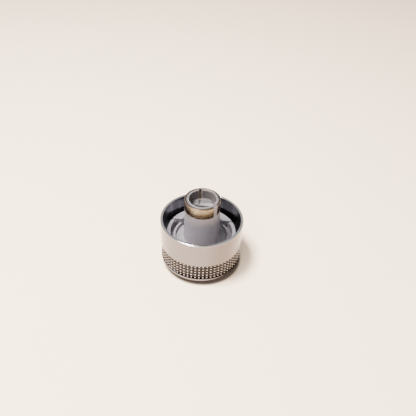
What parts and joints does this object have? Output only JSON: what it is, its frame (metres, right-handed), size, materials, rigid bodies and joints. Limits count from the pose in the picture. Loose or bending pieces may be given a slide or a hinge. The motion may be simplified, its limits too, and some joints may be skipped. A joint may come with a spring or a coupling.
{
  "type": "push-on control knob",
  "caption": "Round chromed push-on control knob lying on its face: knurled grip band, smooth skirt, and a grey split collet held by a brass spring ring.",
  "frame": {"origin": "centre of the knob's flat face, on its axis", "axes": "+Z along the knob's axis from the face towards the open back, the way the shaft leaves the bore; +Y towards the bore's flat"},
  "size_m": [0.02, 0.02, 0.0185],
  "materials": {
    "chromed_metal": "polished plating, lightly hazed",
    "grey_plastic": "satin moulded",
    "spring_bronze": "bright rolled strip, slightly tarnished"
  },
  "bodies": {
    "root": {"knurled_shell": "chromed_metal", "moulded_insert": "grey_plastic", "spring_ring": "spring_bronze"}
  },
  "joints": []
}
